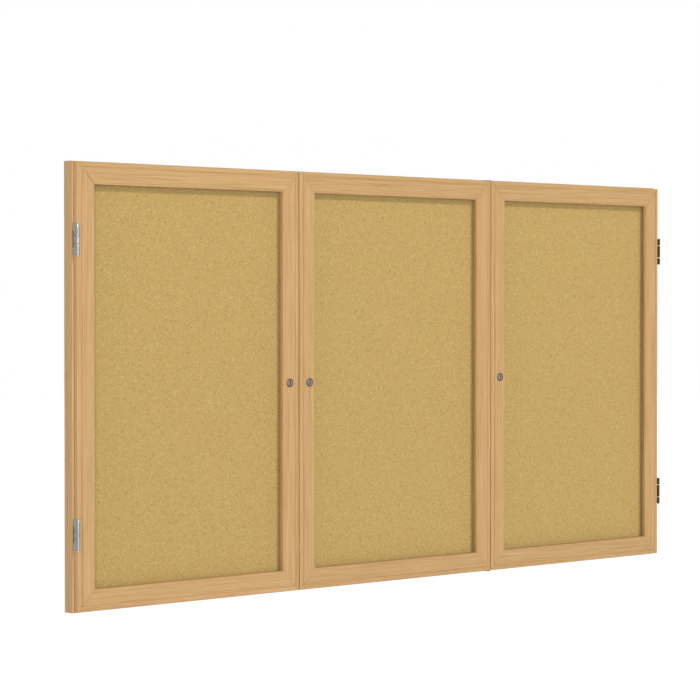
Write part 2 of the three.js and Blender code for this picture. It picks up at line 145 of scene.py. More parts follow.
# Numbers of the sockets by which a mix node mixes colours
MIX_SHARE, MIX_FIRST, MIX_SECOND, MIX_RESULT = 0, 6, 7, 2

# Directions in which the soft lights travel, and the rest of the stage
SIDE_TRAVEL = (0.98, 0.17, 0.0)
REAR_TRAVEL = (-0.75, -0.62, -0.2)
FLOOR_THICKNESS = 0.1
SENSOR_WIDTH_MM = 36.0
VIEW_END = 200.0


def colour_of(red, green, blue):
    """The linear colour of an 8-bit display colour."""
    linear = []
    for level in (red, green, blue):
        share = level / 255
        linear.append(share / 12.92 if share <= 0.04045 else ((share + 0.055) / 1.055) ** 2.4)
    return tuple(linear)


def length(name, text, size):
    """A size in metres."""
    return FloatProperty(name=name, description=text, default=size, min=0.0, unit="LENGTH", precision=5)


def coordinate(name, text, size):
    """A coordinate in metres, of either sign."""
    return FloatProperty(name=name, description=text, default=size, unit="LENGTH")


def tint(name, text, red, green, blue):
    """A colour, given as an 8-bit display colour."""
    shade = colour_of(red, green, blue)
    return FloatVectorProperty(
        name=name, description=text, default=shade, size=3, min=0.0, max=1.0, subtype="COLOR"
    )


def amount(name, text, value, top=100.0):
    """A plain number from zero up."""
    return FloatProperty(name=name, description=text, default=value, min=0.0, max=top)


def angle(name, text, degrees):
    """An angle, given in degrees."""
    return FloatProperty(name=name, description=text, default=math.radians(degrees), subtype="ANGLE")


class NoticeBoardWood(PropertyGroup):
    """Oak of the case and doors, plain wood inside, hardboard at the back."""

    oak_light: tint("Oak Light", "Lightest streaks of the oak", 221, 183, 128)
    oak_mid: tint("Oak", "Ground colour of the oak", 208, 168, 112)
    oak_dark: tint("Oak Dark", "Darkest streaks of the oak", 182, 141, 88)
    oak_warm: tint("Oak Warm", "Pinkish streaks of the oak", 210, 162, 115)
    inner: tint("Inner Wood", "Ground colour of the mullions and battens", 218, 182, 128)
    inner_dark: tint("Inner Wood Dark", "Streaks of the mullions and battens", 198, 160, 106)
    hardboard: tint("Hardboard", "Ground colour of the back panel", 138, 104, 70)
    hardboard_fleck: tint("Hardboard Fleck", "Fibres of the back panel", 104, 76, 50)
    streak_width: length("Streak Width", "Width of one broad streak of the grain", 0.0032)
    streak_length: length("Streak Length", "Length of one broad streak of the grain", 0.22)
    fibre_width: length("Fibre Width", "Width of one fine fibre of the grain", 0.0011)
    pore_length: length("Pore Length", "Length of one open pore", 0.009)
    edge_radius: length("Edge Radius", "Rounding of the sanded edges", 0.0003)


class NoticeBoardCork(PropertyGroup):
    """Cork of the three panels."""

    ground: tint("Cork", "Ground colour of the cork", 204, 171, 101)
    light: tint("Light Granule", "Lightest granules", 218, 187, 122)
    dark: tint("Dark Granule", "Darkest granules and the gaps", 172, 139, 80)
    granule: length("Granule Size", "Width of one cork granule", 0.0029)
    fleck: length("Fleck Size", "Distance between the large dark flecks", 0.011)


class NoticeBoardPane(PropertyGroup):
    """Clear panes of the doors."""

    tone: tint("Pane", "Colour of the clear pane", 150, 158, 155)
    cover: amount("Pane Cover", "How much of the view behind it the pane covers", 0.025, 1.0)


class NoticeBoardLocks(PropertyGroup):
    """Cam locks."""

    bezel: tint("Bezel", "Plating of the lock's rim", 118, 106, 98)
    plug: tint("Plug", "Plating of the plug's face", 150, 141, 134)
    bezel_crown: length("Bezel Crown", "How far the rim's face rises above its edges", 0.0007)
    rim_round: length("Rim Round", "Rounding of the rim's outer edge", 0.0006)
    thread_pitch: length("Thread Pitch", "Distance between the barrel's threads", 0.0011)
    thread_depth: length("Thread Depth", "Depth of the barrel's threads", 0.0004)
    keyway_width: length("Keyway Width", "Width of the key's slot", 0.0017)
    keyway_height: length("Keyway Height", "Height of the key's slot", 0.0075)
    keyway_eye: length("Keyway Eye", "Radius of the round ends of the slot", 0.0015)
    keyway_depth: length("Keyway Depth", "Depth of the key's slot", 0.005)


class NoticeBoardHinges(PropertyGroup):
    """Butt hinges, their screws, and the other small steel pieces."""

    steel: tint("Steel", "Satin steel of the leaves", 148, 147, 146)
    steel_bright: tint("Bright Steel", "Polished steel of the pins", 206, 202, 196)
    # The right hinges' steel is darker to paint the shade that their barrels lie in
    steel_shade_painted: tint("Dark Steel", "Finish of the right hinges", 74, 66, 54)
    leaf: length("Leaf", "Thickness of a leaf", 0.0012)
    pin_radius: length("Pin Radius", "Radius of the pin", 0.0012)
    pin_gap: length("Pin Gap", "Running gap round the pin", 0.0002)
    knuckle_gap: length("Knuckle Gap", "Gap between two knuckles", 0.0012)
    screw_spacing: length("Screw Spacing", "Distance between the door leaf's screws", 0.016)
    screw_head: length("Screw Head", "Radius of a screw's head", 0.003)
    screw_rise: length("Screw Rise", "How far an oval head stands up", 0.0012)
    screw_length: length("Screw Length", "Length of a wood screw under its head", 0.012)
    small_head: length("Small Head", "Radius of the heads at the strikes and brackets", 0.0021)
    edge_radius: length("Edge Radius", "Rounding of the steel's edges", 0.00018)


class NoticeBoardStage(PropertyGroup):
    """Floor, light and camera."""

    key_height: angle("Key Height", "Height of the key light above the horizon", 31.6)
    key_spread: angle("Key Spread", "Apparent size of the key light", 0.6)
    key_strength: amount("Key Strength", "Strength of the key light", 1.143)
    fill_turn: angle("Fill Turn", "How far left of the board's axis the fill light stands", 42.0)
    fill_strength: amount("Fill Strength", "Strength of the soft light from the front left", 1.60)
    fill_spread: angle("Fill Spread", "Apparent size of the soft light from the front left", 12.0)
    side_strength: amount("Side Strength", "Strength of the soft light from the left", 0.67)
    side_spread: angle("Side Spread", "Apparent size of the soft light from the left", 30.0)
    rear_strength: amount("Rear Strength", "Strength of the soft light from behind on the right", 1.5)
    rear_spread: angle("Rear Spread", "Apparent size of the soft light from behind", 60.0)
    sky_strength: amount("Sky Strength", "Brightness of the light from all round", 0.26)
    floor_drop: length("Floor Drop", "From the bottom of the board to the floor", 0.9)
    floor_size: length("Floor Size", "Width of the floor", 60.0)
    floor_glow: amount("Floor Glow", "Light added to the floor where it is seen", 0.45)
    camera_x: coordinate("Camera X", "Camera's place along the board, from its middle", -4.1467)
    camera_y: coordinate("Camera Y", "Camera's place in front of the board, as a negative depth", -4.2089)
    camera_z: coordinate("Camera Z", "Camera's height above the board's middle", 0.1680)
    camera_turn: angle("Camera Turn", "Turn of the camera to the right of the board's axis", 43.78)
    camera_tilt: angle("Camera Tilt", "Tilt of the camera below the horizon", 1.01)
    camera_lens: amount("Camera Lens", "Focal length in millimetres", 134.06, 1000.0)


class NoticeBoardSettings(PropertyGroup):
    """All the settings of the notice board."""

    wood: PointerProperty(type=NoticeBoardWood)
    cork: PointerProperty(type=NoticeBoardCork)
    pane: PointerProperty(type=NoticeBoardPane)
    locks: PointerProperty(type=NoticeBoardLocks)
    hinges: PointerProperty(type=NoticeBoardHinges)
    stage: PointerProperty(type=NoticeBoardStage)


def board():
    """The notice board's settings in the current scene."""
    return bpy.context.scene.notice_board


# Materials


class Finish:
    """A material with one Principled surface, and short calls that add and join its nodes."""

    def __init__(self, name):
        self.material = bpy.data.materials.new(name)
        self.material.use_nodes = True
        self.tree = self.material.node_tree
        self.tree.nodes.clear()
        self.surface = self.add("ShaderNodeBsdfPrincipled")
        output = self.add("ShaderNodeOutputMaterial")
        self.join(self.surface, "BSDF", output, "Surface")

    def add(self, kind, **settings):
        """A new node of a kind, with its settings."""
        node = self.tree.nodes.new(kind)
        for name, value in settings.items():
            setattr(node, name, value)
        return node

    def join(self, source, output, target, socket):
        """Links one node's output to another node's input."""
        self.tree.links.new(source.outputs[output], target.inputs[socket])

    def fix(self, **values):
        """Sets plain values on the surface's own sockets."""
        for name, value in values.items():
            socket = "IOR" if name == "ior" else name.title()
            self.surface.inputs[socket].default_value = value

    def place(self, scale, offset=(0.0, 0.0, 0.0)):
        """The piece's own coordinates, moved by an offset, then scaled to cycles a metre."""
        coordinates = self.add("ShaderNodeTexCoord")
        mapping = self.add("ShaderNodeMapping", vector_type="POINT")
        mapping.inputs["Location"].default_value = [o * s for o, s in zip(offset, scale)]
        mapping.inputs["Scale"].default_value = scale
        self.join(coordinates, "Object", mapping, "Vector")
        return mapping

    def noise(self, place, detail, roughness=0.5, distortion=0.0):
        """Soft noise at a place that the caller has already scaled."""
        node = self.add("ShaderNodeTexNoise")
        node.inputs["Scale"].default_value = 1.0
        node.inputs["Detail"].default_value = detail
        node.inputs["Roughness"].default_value = roughness
        node.inputs["Distortion"].default_value = distortion
        self.join(place, "Vector", node, "Vector")
        return node

    def grain(self, axis, length, width, detail, roughness=0.5, offset=(0.0, 0.0, 0.0)):
        """Noise drawn out along one axis."""
        return self.noise(self.place(along_grain(axis, length, width), offset), detail, roughness)

    def cells(self, place, feature="F1"):
        """Cells about points that lie as if by chance."""
        node = self.add("ShaderNodeTexVoronoi", feature=feature)
        node.inputs["Scale"].default_value = 1.0
        node.inputs["Randomness"].default_value = 1.0
        self.join(place, "Vector", node, "Vector")
        return node

    def spread(self, source, output, low, high, to_low=0.0, to_high=1.0):
        """Spreads the values between low and high over to_low to to_high."""
        node = self.add("ShaderNodeMapRange", clamp=True)
        node.inputs["From Min"].default_value = low
        node.inputs["From Max"].default_value = high
        node.inputs["To Min"].default_value = to_low
        node.inputs["To Max"].default_value = to_high
        self.join(source, output, node, "Value")
        return node

    def mix(self, share, first, second):
        """Mixes two colours by a spread share; each is a colour or an earlier mix."""
        node = self.add("ShaderNodeMix", data_type="RGBA", blend_type="MIX")
        self.tree.links.new(share.outputs["Result"], node.inputs[MIX_SHARE])
        for socket, value in ((node.inputs[MIX_FIRST], first), (node.inputs[MIX_SECOND], second)):
            if isinstance(value, bpy.types.Node):
                self.tree.links.new(value.outputs[MIX_RESULT], socket)
            else:
                socket.default_value = (*value[:3], 1.0)
        return node

    def colour(self, mix):
        """The surface takes the colour of a mix."""
        self.tree.links.new(mix.outputs[MIX_RESULT], self.surface.inputs["Base Color"])

    def gloss(self, noise, low, high, to_low, to_high):
        """The surface's roughness follows a noise."""
        share = self.spread(noise, "Fac", low, high, to_low, to_high)
        self.join(share, "Result", self.surface, "Roughness")

    def bump(self, source, output, strength, distance):
        """Fine relief that follows a node's output, of a height in metres."""
        node = self.add("ShaderNodeBump")
        node.inputs["Strength"].default_value = strength
        node.inputs["Distance"].default_value = distance
        self.join(source, output, node, "Height")
        self.join(node, "Normal", self.surface, "Normal")


def along_grain(axis, along, across):
    """A scale for each axis, in cycles a metre, with the grain running along one axis."""
    return [1.0 / along if name == axis else 1.0 / across for name in "XYZ"]


def shaded(tone, share):
    """A colour with each of its levels times a share."""
    return [level * share for level in tone]


def oak_finish(name, axis, offset, shade):
    """Satin oak with straight grain along an axis: broad streaks, fine fibres and short pores."""
    wood = board().wood
    finish = Finish(name)
    warm_length = wood.streak_length * 1.7
    warm_width = wood.streak_width * 3.0
    fibre_length = wood.streak_length / 4
    pore_width = wood.fibre_width * 0.45
    streaks = finish.grain(axis, wood.streak_length, wood.streak_width, 3.0, 0.75, offset)
    warmth = finish.grain(axis, warm_length, warm_width, 2.0, offset=offset)
    fibres = finish.grain(axis, fibre_length, wood.fibre_width, 3.0, 0.6, offset)
    pores = finish.grain(axis, wood.pore_length, pore_width, 1.0, offset=offset)

    tones = (wood.oak_mid, wood.oak_dark, wood.oak_light, wood.oak_warm)
    mid, dark, light, warm = (shaded(tone, shade) for tone in tones)
    lift = finish.spread(streaks, "Fac", 0.50, 0.70)
    lifted = finish.mix(lift, mid, light)
    sink = finish.spread(streaks, "Fac", 0.48, 0.30, 0.0, 1.0)
    sunk = finish.mix(sink, lifted, dark)
    warming = finish.spread(warmth, "Fac", 0.45, 0.70, 0.0, 0.65)
    warmed = finish.mix(warming, sunk, warm)
    fibre_share = finish.spread(fibres, "Fac", 0.52, 0.80, 0.0, 0.75)
    fibred = finish.mix(fibre_share, warmed, dark)
    pore_share = finish.spread(pores, "Fac", 0.66, 0.74, 0.0, 0.5)
    finish.colour(finish.mix(pore_share, fibred, dark))
    finish.gloss(fibres, 0.3, 0.8, 0.50, 0.66)
    finish.fix(ior=1.42)
    finish.bump(fibres, "Fac", 0.25, 0.00012)
    return finish.material


def inner_wood_finish(name, axis):
    """Plain sealed wood of the mullions and battens."""
    wood = board().wood
    finish = Finish(name)
    streaks = finish.grain(axis, wood.streak_length, wood.streak_width * 1.5, 3.0)
    fibres = finish.grain(axis, wood.streak_length / 5, wood.fibre_width, 2.0)
    streaked = finish.mix(finish.spread(streaks, "Fac", 0.45, 0.7), wood.inner, wood.inner_dark)
    fibre_share = finish.spread(fibres, "Fac", 0.5, 0.8, 0.0, 0.4)
    finish.colour(finish.mix(fibre_share, streaked, wood.inner_dark))
    finish.gloss(fibres, 0.3, 0.8, 0.58, 0.75)
    finish.bump(fibres, "Fac", 0.3, 0.00015)
    return finish.material


def hardboard_finish(name):
    """Brown pressed fibre, with long flecks lying every way in the board's plane."""
    wood = board().wood
    finish = Finish(name)
    along, across, cloudy = 300.0, 1400.0, 22.0
    level = finish.noise(finish.place((along, along, across)), 2.0)
    upright = finish.noise(finish.place((across, along, along)), 2.0)
    cloud = finish.noise(finish.place((cloudy, cloudy, cloudy)), 3.0)
    level_share = finish.spread(level, "Fac", 0.52, 0.72)
    level_flecks = finish.mix(level_share, wood.hardboard, wood.hardboard_fleck)
    upright_share = finish.spread(upright, "Fac", 0.52, 0.72, 0.0, 0.8)
    flecked = finish.mix(upright_share, level_flecks, wood.hardboard_fleck)
    cloud_share = finish.spread(cloud, "Fac", 0.4, 0.7, 0.0, 0.6)
    darker = shaded(wood.hardboard, 0.82)
    finish.colour(finish.mix(cloud_share, flecked, darker))
    finish.gloss(cloud, 0.3, 0.7, 0.55, 0.75)
    finish.bump(level, "Fac", 0.2, 0.0001)
    return finish.material


def cork_finish(name):
    """Fine natural cork: pressed granules, each of its own tone, dark seams and a few large flecks."""
    cork = board().cork
    finish = Finish(name)
    granule_scale = [1.0 / cork.granule] * 3
    granules = finish.cells(finish.place(granule_scale))
    seams = finish.cells(finish.place(granule_scale), "DISTANCE_TO_EDGE")
    flecks = finish.cells(finish.place([1.0 / cork.fleck] * 3))
    crumbs = finish.noise(finish.place([2.2 / cork.granule] * 3), 2.0)
    clouds = finish.noise(finish.place([0.28 / cork.granule] * 3), 3.0)
    tone = finish.add("ShaderNodeSeparateColor")
    finish.join(granules, "Color", tone, "Color")

    lighter = finish.mix(finish.spread(tone, "Red", 0.80, 1.0), cork.ground, cork.light)
    dark_share = finish.spread(tone, "Green", 0.86, 1.0, 0.0, 0.7)
    granular = finish.mix(dark_share, lighter, cork.dark)
    crumb_share = finish.spread(crumbs, "Fac", 0.58, 0.8, 0.0, 0.3)
    crumbed = finish.mix(crumb_share, granular, cork.dark)
    seam_share = finish.spread(seams, "Distance", 0.0, 0.08, 0.3, 0.0)
    seamed = finish.mix(seam_share, crumbed, cork.dark)
    cloud_share = finish.spread(clouds, "Fac", 0.45, 0.75, 0.0, 0.1)
    clouded = finish.mix(cloud_share, seamed, cork.light)
    fleck_share = finish.spread(flecks, "Distance", 0.07, 0.14, 0.9, 0.0)
    finish.colour(finish.mix(fleck_share, clouded, shaded(cork.dark, 0.7)))
    finish.fix(roughness=0.95, ior=1.3)
    finish.bump(seams, "Distance", 0.35, 0.0004)
    return finish.material


def pane_finish(name):
    """Clear acrylic with a trace of wiping marks, as a thin film over what lies behind it."""
    pane = board().pane
    finish = Finish(name)
    wipes = finish.noise(finish.place((9.0, 9.0, 3.0)), 4.0, 0.6, 0.4)
    wiped = shaded(pane.tone, 0.97)
    finish.colour(finish.mix(finish.spread(wipes, "Fac", 0.4, 0.7), pane.tone, wiped))
    finish.gloss(wipes, 0.45, 0.75, 0.02, 0.05)
    finish.fix(ior=1.49, alpha=pane.cover)
    return finish.material


def metal_finish(name, tone, roughness):
    """Metal with a fine brushed grain and slight clouds of wear."""
    finish = Finish(name)
    grain = finish.noise(finish.place((900.0, 900.0, 160.0)), 2.0)
    clouds = finish.noise(finish.place((260.0, 260.0, 260.0)), 3.0)
    wear = 0.12
    wear_and_pale_shade = shaded(tone, 1.0 - wear)
    finish.colour(finish.mix(finish.spread(clouds, "Fac", 0.35, 0.7), tone, wear_and_pale_shade))
    finish.gloss(grain, 0.3, 0.7, roughness * 0.8, roughness * 1.25)
    finish.fix(metallic=1.0)
    finish.bump(grain, "Fac", 0.12, 0.00004)
    return finish.material


def painted_recess_shade(name):
    """The inside of a keyway or a screw's recess: painted dark as the shade that falls in it, with faint
    steps.
    """
    finish = Finish(name)
    wards = finish.noise(finish.place((700.0, 2600.0, 700.0)), 1.0)
    # Two levels of painted shade: the deeper one, and a slightly paler one along the steps
    deep_painted_shade, wear_and_pale_shade = (0.012, 0.012, 0.012), (0.035, 0.03, 0.024)
    finish.colour(finish.mix(finish.spread(wards, "Fac", 0.4, 0.65), deep_painted_shade, wear_and_pale_shade))
    finish.fix(roughness=0.6, metallic=0.4)
    finish.bump(wards, "Fac", 0.2, 0.0001)
    return finish.material


def shared(name, maker, *facts):
    """The material of that name, made the first time that it is asked for."""
    return bpy.data.materials.get(name) or maker(name, *facts)


def hinge_steel():
    """Satin steel of leaves, screws, cams, strikes and brackets."""
    return shared("satin_steel", metal_finish, board().hinges.steel, SATIN)


def bright_steel():
    """Polished steel of pins and nuts."""
    return shared("bright_steel", metal_finish, board().hinges.steel_bright, POLISHED)


def shadowed_steel():
    """Steel inside keyways and screw recesses, painted dark as the shade in them."""
    return shared("shadowed_steel", painted_recess_shade)


def dark_steel():
    """Steel of the right hinges, made darker to paint the shade that their barrels lie in."""
    return shared("dark_steel", metal_finish, board().hinges.steel_shade_painted, RIGHT_HINGE_ROUGHNESS)


# Geometry


def put(name, mesh):
    """A new object in the scene, with that mesh."""
    piece = bpy.data.objects.new(name, mesh)
    bpy.context.scene.collection.objects.link(piece)
    return piece


def solid_from(shape, name, material):
    """A new object of one material from a bmesh, which is used up."""
    mesh = bpy.data.meshes.new(name)
    shape.to_mesh(mesh)
    shape.free()
    mesh.materials.append(material)
    return put(name, mesh)


def slab(name, low, high, material):
    """A block between two corners."""
    low, high = Vector(low), Vector(high)
    size = high - low
    place = Matrix.Translation((low + high) / 2) @ Matrix.Diagonal((*size, 1.0))
    shape = bmesh.new()
    bmesh.ops.create_cube(shape, size=1.0, matrix=place)
    return solid_from(shape, name, material)


def turned(name, profile, material, sides, closed=False, spin=None):
    """A solid turned about the Y axis. The profile is (radius, depth) points, from the axis back to the axis,
    or a closed loop. A spin matrix then puts it elsewhere."""
    shape = bmesh.new()
    rings = []
    for radius, depth in profile:
        count = sides if radius > 0 else 1
        turns = [math.tau * step / count for step in range(count)]
        rings.append([shape.verts.new((radius * math.cos(t), depth, radius * math.sin(t))) for t in turns])
    pairs = list(zip(rings, rings[1:]))
    if closed:
        pairs.append((rings[-1], rings[0]))
    for first, second in pairs:
        for step in range(sides):
            corners = (
                first[step % len(first)],
                first[(step + 1) % len(first)],
                second[(step + 1) % len(second)],
                second[step % len(second)],
            )
            face = list(dict.fromkeys(corners))
            if len(face) > 2:
                shape.faces.new(face)
    bmesh.ops.recalc_face_normals(shape, faces=shape.faces)
    if spin is not None:
        bmesh.ops.transform(shape, matrix=spin, verts=shape.verts)
    return solid_from(shape, name, material)


def fitted(name, base, added=(), removed=()):
    """The solid that joining and cutting leaves, as one new object; the tools are used up."""
    for operation, tools in (("UNION", added), ("DIFFERENCE", removed)):
        for tool in tools:
            step = base.modifiers.new(operation.title(), "BOOLEAN")
            step.operation = operation
            step.solver = "EXACT"
            step.material_mode = "TRANSFER"
            step.object = tool
    graph = bpy.context.evaluated_depsgraph_get()
    mesh = bpy.data.meshes.new_from_object(base.evaluated_get(graph))
    if not mesh.polygons:
        raise RuntimeError(f"{name} came out empty")
    for used in (base, *added, *removed):
        bpy.data.objects.remove(used)
    mesh.name = name
    return put(name, mesh)


def smooth_sides(piece):
    """Round faces shade smooth, and sharp edges stay crisp."""
    piece.data.shade_smooth()
    piece.data.set_sharp_from_angle(angle=CRISP_ANGLE)


def soften(piece, width, limit=EDGE_ANGLE):
    """A small rounding of the edges that are sharper than the limit."""
    step = piece.modifiers.new("Edge Rounding", "BEVEL")
    step.width = width
    step.segments = 2
    step.limit_method = "ANGLE"
    step.angle_limit = limit
    step.harden_normals = True
    step.use_clamp_overlap = True


def dress(node, material, edge_radius=0.0, limit=EDGE_ANGLE):
    """Gives a frame node its finish and, where a radius is given, rounded edges."""
    if node not in frame["nodes"]:
        raise RuntimeError(f"the frame holds no node {node}")
    piece = frame["nodes"][node]
    if not piece.data.materials:
        piece.data.materials.append(material)
    piece.material_slots[0].link = "OBJECT"
    piece.material_slots[0].material = material
    if edge_radius > 0:
        soften(piece, edge_radius, limit)


def stand_for(piece, node):
    """The piece takes a frame node's place, on the node's own body."""
    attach(piece, BODY_OF[node])
    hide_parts(node)


def join_body(piece, body):
    """The piece rides on a body."""
    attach(piece, body)


# Screws


def screw_mesh(name, head, rise, shank, material):
    """A wood screw along +Y under an oval head whose rim lies at y = 0, with a cross recess."""
    neck = head * 0.5
    crown = [(0.0, -rise), (head * 0.4, -rise * 0.9), (head * 0.75, -rise * 0.55), (head, 0.0)]
    point = [(neck, head * 0.55), (neck, shank * 0.8), (0.0, shank)]
    body = turned(name, crown + point, material, SMALL_SIDES)
    reach = head * 0.76
    half = head * 0.23
    ahead = -rise * 2
    bottom = head * 0.4
    # The recess's faces take the painted shade of shadowed_steel from the cutting bars
    bars = [
        slab("recess_across", (-reach, ahead, -half), (reach, bottom, half), shadowed_steel()),
        slab("recess_up", (-half, ahead, -reach), (half, bottom, reach), shadowed_steel()),
    ]
    piece = fitted(name, body, removed=bars)
    smooth_sides(piece)
    return piece


def drive_screws(label, body, places, inward, head, rise, shank):
    """Screws of one size at several places, all driven along one direction."""
    turn = Vector((0.0, 1.0, 0.0)).rotation_difference(Vector(inward)).to_matrix().to_4x4()
    first = screw_mesh(f"{label}_screw_1", head, rise, shank, hinge_steel())
    for index, place in enumerate(places):
        piece = first if index == 0 else put(f"{label}_screw_{index + 1}", first.data)
        # Each recess stands at its own angle, as hand-driven screws do
        twist = Matrix.Rotation(math.radians(FIRST_TWIST + NEXT_TWIST * index), 4, "Y")
        piece.matrix_world = Matrix.Translation(place) @ turn @ twist
        join_body(piece, body)


# Case and doors


class NOTICE_BOARD_OT_finish_case(Operator):
    """Oak on the case, plain wood on the mullions and battens, hardboard on the back"""

    bl_idname = "notice_board.finish_case"
    bl_label = "Finish Case"

    def execute(self, context):
        wood = context.scene.notice_board.wood
        rail = oak_finish("oak_case_rails", "X", CASE_RAIL_START, CASE_SHADE)
        side = oak_finish("oak_case_sides", "Z", CASE_SIDE_START, CASE_SHADE)
        for node in ("case_top_rail", "case_bottom_rail"):
            dress(node, rail, wood.edge_radius)
        for node in ("case_left_side", "case_right_side"):
            dress(node, side, wood.edge_radius)
        for node in ("mullion_left", "mullion_right"):
            dress(node, shared("plain_wood_upright", inner_wood_finish, "Z"), wood.edge_radius)
        for node in ("batten_top", "batten_middle", "batten_bottom"):
            dress(node, shared("plain_wood_level", inner_wood_finish, "X"), wood.edge_radius * 2)
        dress("back_panel", hardboard_finish("pressed_board"))
        return {"FINISHED"}


def put_in_order(items, place_of):
    """Sorts a shape's corners or faces by their places, so that every run writes them alike."""

    def place_to_a_micrometre(item):
        return [round(value, 6) for value in place_of(item)]

    for rank, item in enumerate(sorted(items, key=place_to_a_micrometre)):
        item.index = rank
    items.sort()


def close_mitres(node, reach, material):
    """The glued joint at both mitred ends of a stile: it fills the gap and the rounded edges beside it."""
    shape = bmesh.new()
    shape.from_mesh(frame["nodes"][node].data)
    low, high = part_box(node)
    mitre_start = high.z - (high.x - low.x) - MM
    others = []
    for face in shape.faces:
        # A mitre's normal leans by 45 degrees, so 0.7 of it lies along each axis
        slanted = min(abs(face.normal.x), abs(face.normal.z)) >= 0.5
        if not slanted or abs(face.calc_center_median().z) < mitre_start:
            others.append(face)
    bmesh.ops.delete(shape, geom=others, context="FACES")
    if not shape.faces:
        raise RuntimeError(f"{node} has no mitred end")
    bmesh.ops.remove_doubles(shape, verts=shape.verts, dist=MERGE_DISTANCE)
    shape.normal_update()
    for corner in shape.verts:
        corner.co -= corner.normal * reach
    grown = bmesh.ops.extrude_face_region(shape, geom=list(shape.faces))["geom"]
    caps = [item for item in grown if isinstance(item, bmesh.types.BMFace)]
    outward = {corner: face.normal.copy() for face in caps for corner in face.verts}
    for corner, normal in outward.items():
        corner.co += normal * (PART_GAP + 2 * reach)
    bmesh.ops.recalc_face_normals(shape, faces=shape.faces)
    for face in shape.faces:
        face.smooth = False
    put_in_order(shape.verts, lambda corner: corner.co)
    put_in_order(shape.faces, lambda face: face.calc_center_median())
    join_body(solid_from(shape, f"{node}_mitres", material), BODY_OF[node])


class NOTICE_BOARD_OT_finish_doors(Operator):
    """Oak on the four members of each door, with the grain along each member"""

    bl_idname = "notice_board.finish_doors"
    bl_label = "Finish Doors"

    def execute(self, context):
        wood = context.scene.notice_board.wood
        for index, door in enumerate(DOORS):
            shade = 1.0 - SHADE_STEP * index
            rail_shade = 1.0 - LATER_RAILS_SHADE * min(index, 1) - SHADE_STEP * index
            rail_start = [step * index for step in RAIL_SHIFT]
            stile_start = [step * index for step in STILE_SHIFT]
            rails = oak_finish(f"oak_{door}_rails", "X", rail_start, rail_shade)
            stiles = oak_finish(f"oak_{door}_stiles", "Z", stile_start, shade)
            for member in ("top_rail", "bottom_rail"):
                dress(f"door_{door}_{member}", rails, wood.edge_radius, FINE_EDGE_ANGLE)
            for member in ("left_stile", "right_stile"):
                close_mitres(f"door_{door}_{member}", wood.edge_radius, stiles)
                dress(f"door_{door}_{member}", stiles, wood.edge_radius, FINE_EDGE_ANGLE)
        return {"FINISHED"}


class NOTICE_BOARD_OT_finish_cork(Operator):
    """Granular cork on the three panels"""

    bl_idname = "notice_board.finish_cork"
    bl_label = "Finish Cork"

    def execute(self, context):
        edge_radius = context.scene.notice_board.wood.edge_radius
        for door in DOORS:
            dress(f"cork_{door}", shared("natural_cork", cork_finish), edge_radius)
        return {"FINISHED"}


class NOTICE_BOARD_OT_finish_panes(Operator):
    """Clear panes in the doors"""

    bl_idname = "notice_board.finish_panes"
    bl_label = "Finish Panes"

    def execute(self, context):
        for door in DOORS:
            dress(f"door_{door}_pane", shared("clear_acrylic", pane_finish))
        return {"FINISHED"}


# Locks


def lock_body(name, node, centre, locks):
    """Crowned rim on a threaded barrel, bored for the plug."""
    low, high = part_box(node)
    plug_low, plug_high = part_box(node.replace("body", "plug"))
    face = (high.x - low.x) / 2
    bore = (plug_high.x - plug_low.x) / 2 + PART_GAP
    front, back = low.y, high.y
    seat = front + RIM_THICKNESS
    barrel = face - RIM_OVERHANG
    crown = locks.bezel_crown
    middle = (face + bore) / 2
    # From the bore's edge up to the crown, down to the rounded rim, and back in under it
    profile = [
        (bore, front + crown * 0.9),
        (bore + 0.3 * MM, front + crown * 0.45),
        (middle - 0.5 * MM, front + crown * 0.05),
        (middle + 0.4 * MM, front),
        (face - locks.rim_round * 1.6, front + crown * 0.5),
        (face - locks.rim_round * 0.5, front + crown * 0.5 + locks.rim_round * 0.35),
        (face, front + crown * 0.5 + locks.rim_round),
        (face, seat),
        (barrel, seat),
    ]
    thread_start = seat + (back - seat) * PLAIN_BARREL_SHARE
    turns = int((back - thread_start) / locks.thread_pitch)
    for turn in range(turns):
        start = thread_start + turn * locks.thread_pitch
        profile.append((barrel, start))
        profile.append((barrel - locks.thread_depth, start + locks.thread_pitch / 2))
    profile += [(barrel, back - BARREL_CHAMFER), (barrel - BARREL_CHAMFER, back), (bore, back)]
    plating = shared("lock_bezel", metal_finish, locks.bezel, SATIN)
    body = turned(name, profile, plating, LOCK_SIDES, closed=True)
    body.location = (centre.x, 0.0, centre.z)
    smooth_sides(body)
    return body


